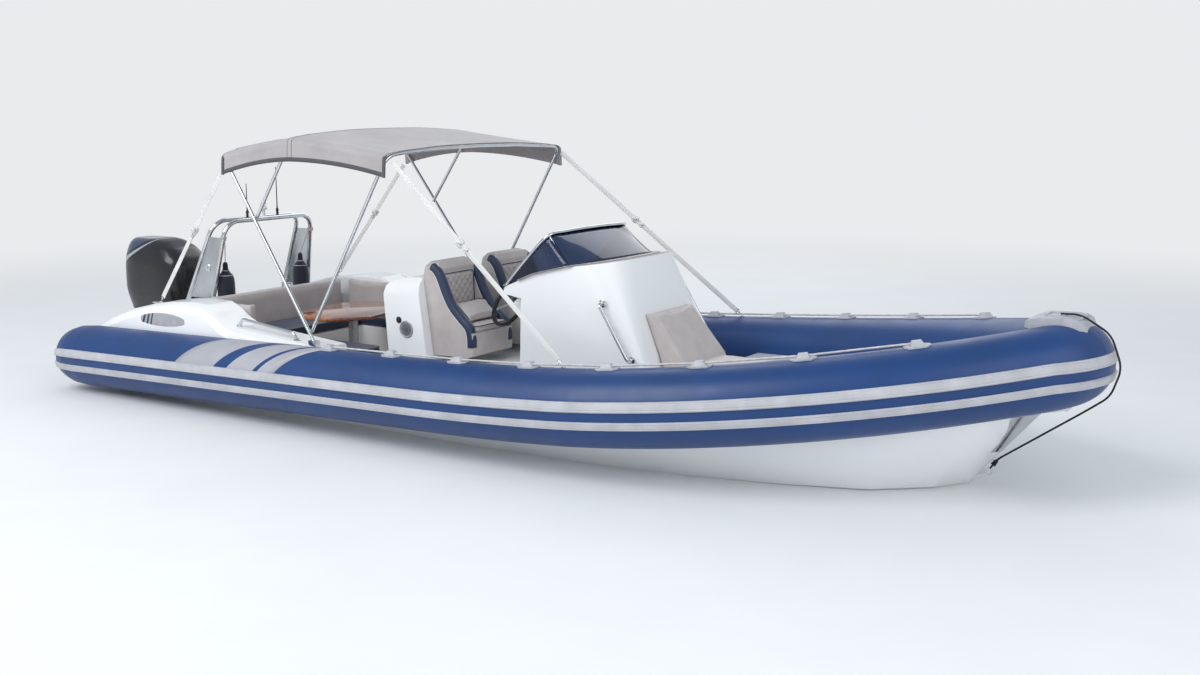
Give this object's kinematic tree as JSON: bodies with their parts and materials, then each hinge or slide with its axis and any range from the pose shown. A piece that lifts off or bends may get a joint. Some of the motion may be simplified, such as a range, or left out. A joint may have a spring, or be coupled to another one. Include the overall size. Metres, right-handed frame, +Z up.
{
  "type": "rigid inflatable boat",
  "caption": "Rigid inflatable boat with console, twin helm seats, sun top, stainless arch and steerable, tilting outboard engine; propeller, wheel and seat bolsters move.",
  "frame": {"origin": "on the centreline at the waterline, midway along the tubes", "axes": "+X to the bow, +Y to port, +Z up"},
  "size_m": [8.2675, 2.8398, 2.8271],
  "materials": {
    "black_plastic": "matte",
    "canopy_fabric": "woven",
    "cast_block": "cast",
    "dash_grey": "satin",
    "deck_grey": "textured",
    "engine_black": "gloss",
    "engine_gloss": "gloss",
    "gelcoat_white": "gloss",
    "lamp_white": "gloss",
    "navy_cover": "knitted",
    "prop_steel": "polished",
    "rope_black": "braided",
    "rope_white": "braided",
    "screen_tint": "polished",
    "stainless": "polished",
    "strake_rubber": "satin",
    "table_leg": "gloss",
    "teak": "varnished",
    "tube_fabric": "satin",
    "upholstery_grey": "grained",
    "upholstery_navy": "grained",
    "webbing_white": "woven"
  },
  "bodies": {
    "root": {"aerials": "black_plastic", "arch": "stainless", "arch_light": "lamp_white", "bimini_bow_aft": "stainless", "bimini_bow_fwd": "stainless", "bimini_bow_mid": "stainless", "bimini_canopy": "canopy_fabric", "bimini_stays": "webbing_white", "bow_eye": "stainless", "bow_roller": "stainless", "bow_step": "strake_rubber", "clamp_bracket": "engine_black", "coaming_rails": "stainless", "coamings": "gelcoat_white", "console": "gelcoat_white", "console_rails": "stainless", "console_seat": "upholstery_grey", "dash": "dash_grey", "deck_fittings": "stainless", "fenders": "navy_cover", "foredeck": "gelcoat_white", "helm_platform": "deck_grey", "hull": "gelcoat_white", "painter": "rope_black", "rail_pads": "strake_rubber", "rail_rope": "rope_white", "screen_rail": "stainless", "seat_backrests": "upholstery_grey", "seat_base": "gelcoat_white", "seat_cushions": "upholstery_navy", "seat_pads": "upholstery_grey", "seat_pod": "gelcoat_white", "seat_shells": "upholstery_grey", "stem_plate": "stainless", "stern_decks": "gelcoat_white", "strake_lower": "strake_rubber", "strake_upper": "strake_rubber", "table_pedestal": "table_leg", "table_top": "teak", "transom": "gelcoat_white", "tube_aft_port": "tube_fabric", "tube_aft_starboard": "tube_fabric", "tube_bow": "tube_fabric", "tube_mid_port": "tube_fabric", "tube_mid_starboard": "tube_fabric", "windscreen": "screen_tint"},
    "tilt": {"swivel_bracket": "engine_black"},
    "drive": {"engine_leg": "engine_black", "gearcase": "engine_black", "engine_cowl": "engine_gloss", "engine_block": "cast_block"},
    "propeller": {"propeller": "prop_steel"},
    "tilt_cylinder": {"tilt_cylinder": "engine_black"},
    "tilt_rod": {"tilt_rod": "stainless"},
    "steering_wheel": {"steering_wheel": "black_plastic"},
    "bolster_port": {"bolster_port": "upholstery_grey"},
    "bolster_starboard": {"bolster_starboard": "upholstery_grey"}
  },
  "joints": [
    {"name": "engine_tilt", "type": "hinge", "parent": "root", "child": "tilt", "pos_m": [-3.525, 0, 0.33], "axis": [0, 1, 0], "range_deg": [0, 65]},
    {"name": "engine_steer", "type": "hinge", "parent": "tilt", "child": "drive", "pos_m": [-3.745, 0, 0.1], "axis": [0, 0, 1], "range_deg": [-30, 30]},
    {"name": "propeller_spin", "type": "hinge", "parent": "drive", "child": "propeller", "pos_m": [-4.345, 0, -0.56], "axis": [1, 0, 0], "continuous": true},
    {"name": "cylinder_swing", "type": "hinge", "parent": "root", "child": "tilt_cylinder", "pos_m": [-3.49, 0, -0.06], "axis": [0, 1, 0], "range_deg": [-8, 8]},
    {"name": "rod_slide", "type": "slide", "parent": "tilt_cylinder", "child": "tilt_rod", "axis": [-0.3122, 0, 0.95], "range_m": [0, 0.095]},
    {"name": "wheel_turn", "type": "hinge", "parent": "root", "child": "steering_wheel", "pos_m": [-0.09, -0.3, 0.87], "axis": [-0.9063, 0, 0.4226], "range_deg": [-545, 545]},
    {"name": "bolster_port_flip", "type": "hinge", "parent": "root", "child": "bolster_port", "pos_m": [-0.5, 0.32, 0.837], "axis": [0, -1, 0], "range_deg": [0, 90]},
    {"name": "bolster_starboard_flip", "type": "hinge", "parent": "root", "child": "bolster_starboard", "pos_m": [-0.5, -0.32, 0.837], "axis": [0, -1, 0], "range_deg": [0, 90]}
  ],
  "couplings": [
    {"joint": "cylinder_swing", "follows": "engine_tilt", "ratio": 0.0597},
    {"joint": "rod_slide", "follows": "engine_tilt", "m_per_rad": 0.08039},
    {"joint": "wheel_turn", "follows": "engine_steer", "ratio": 18}
  ]
}
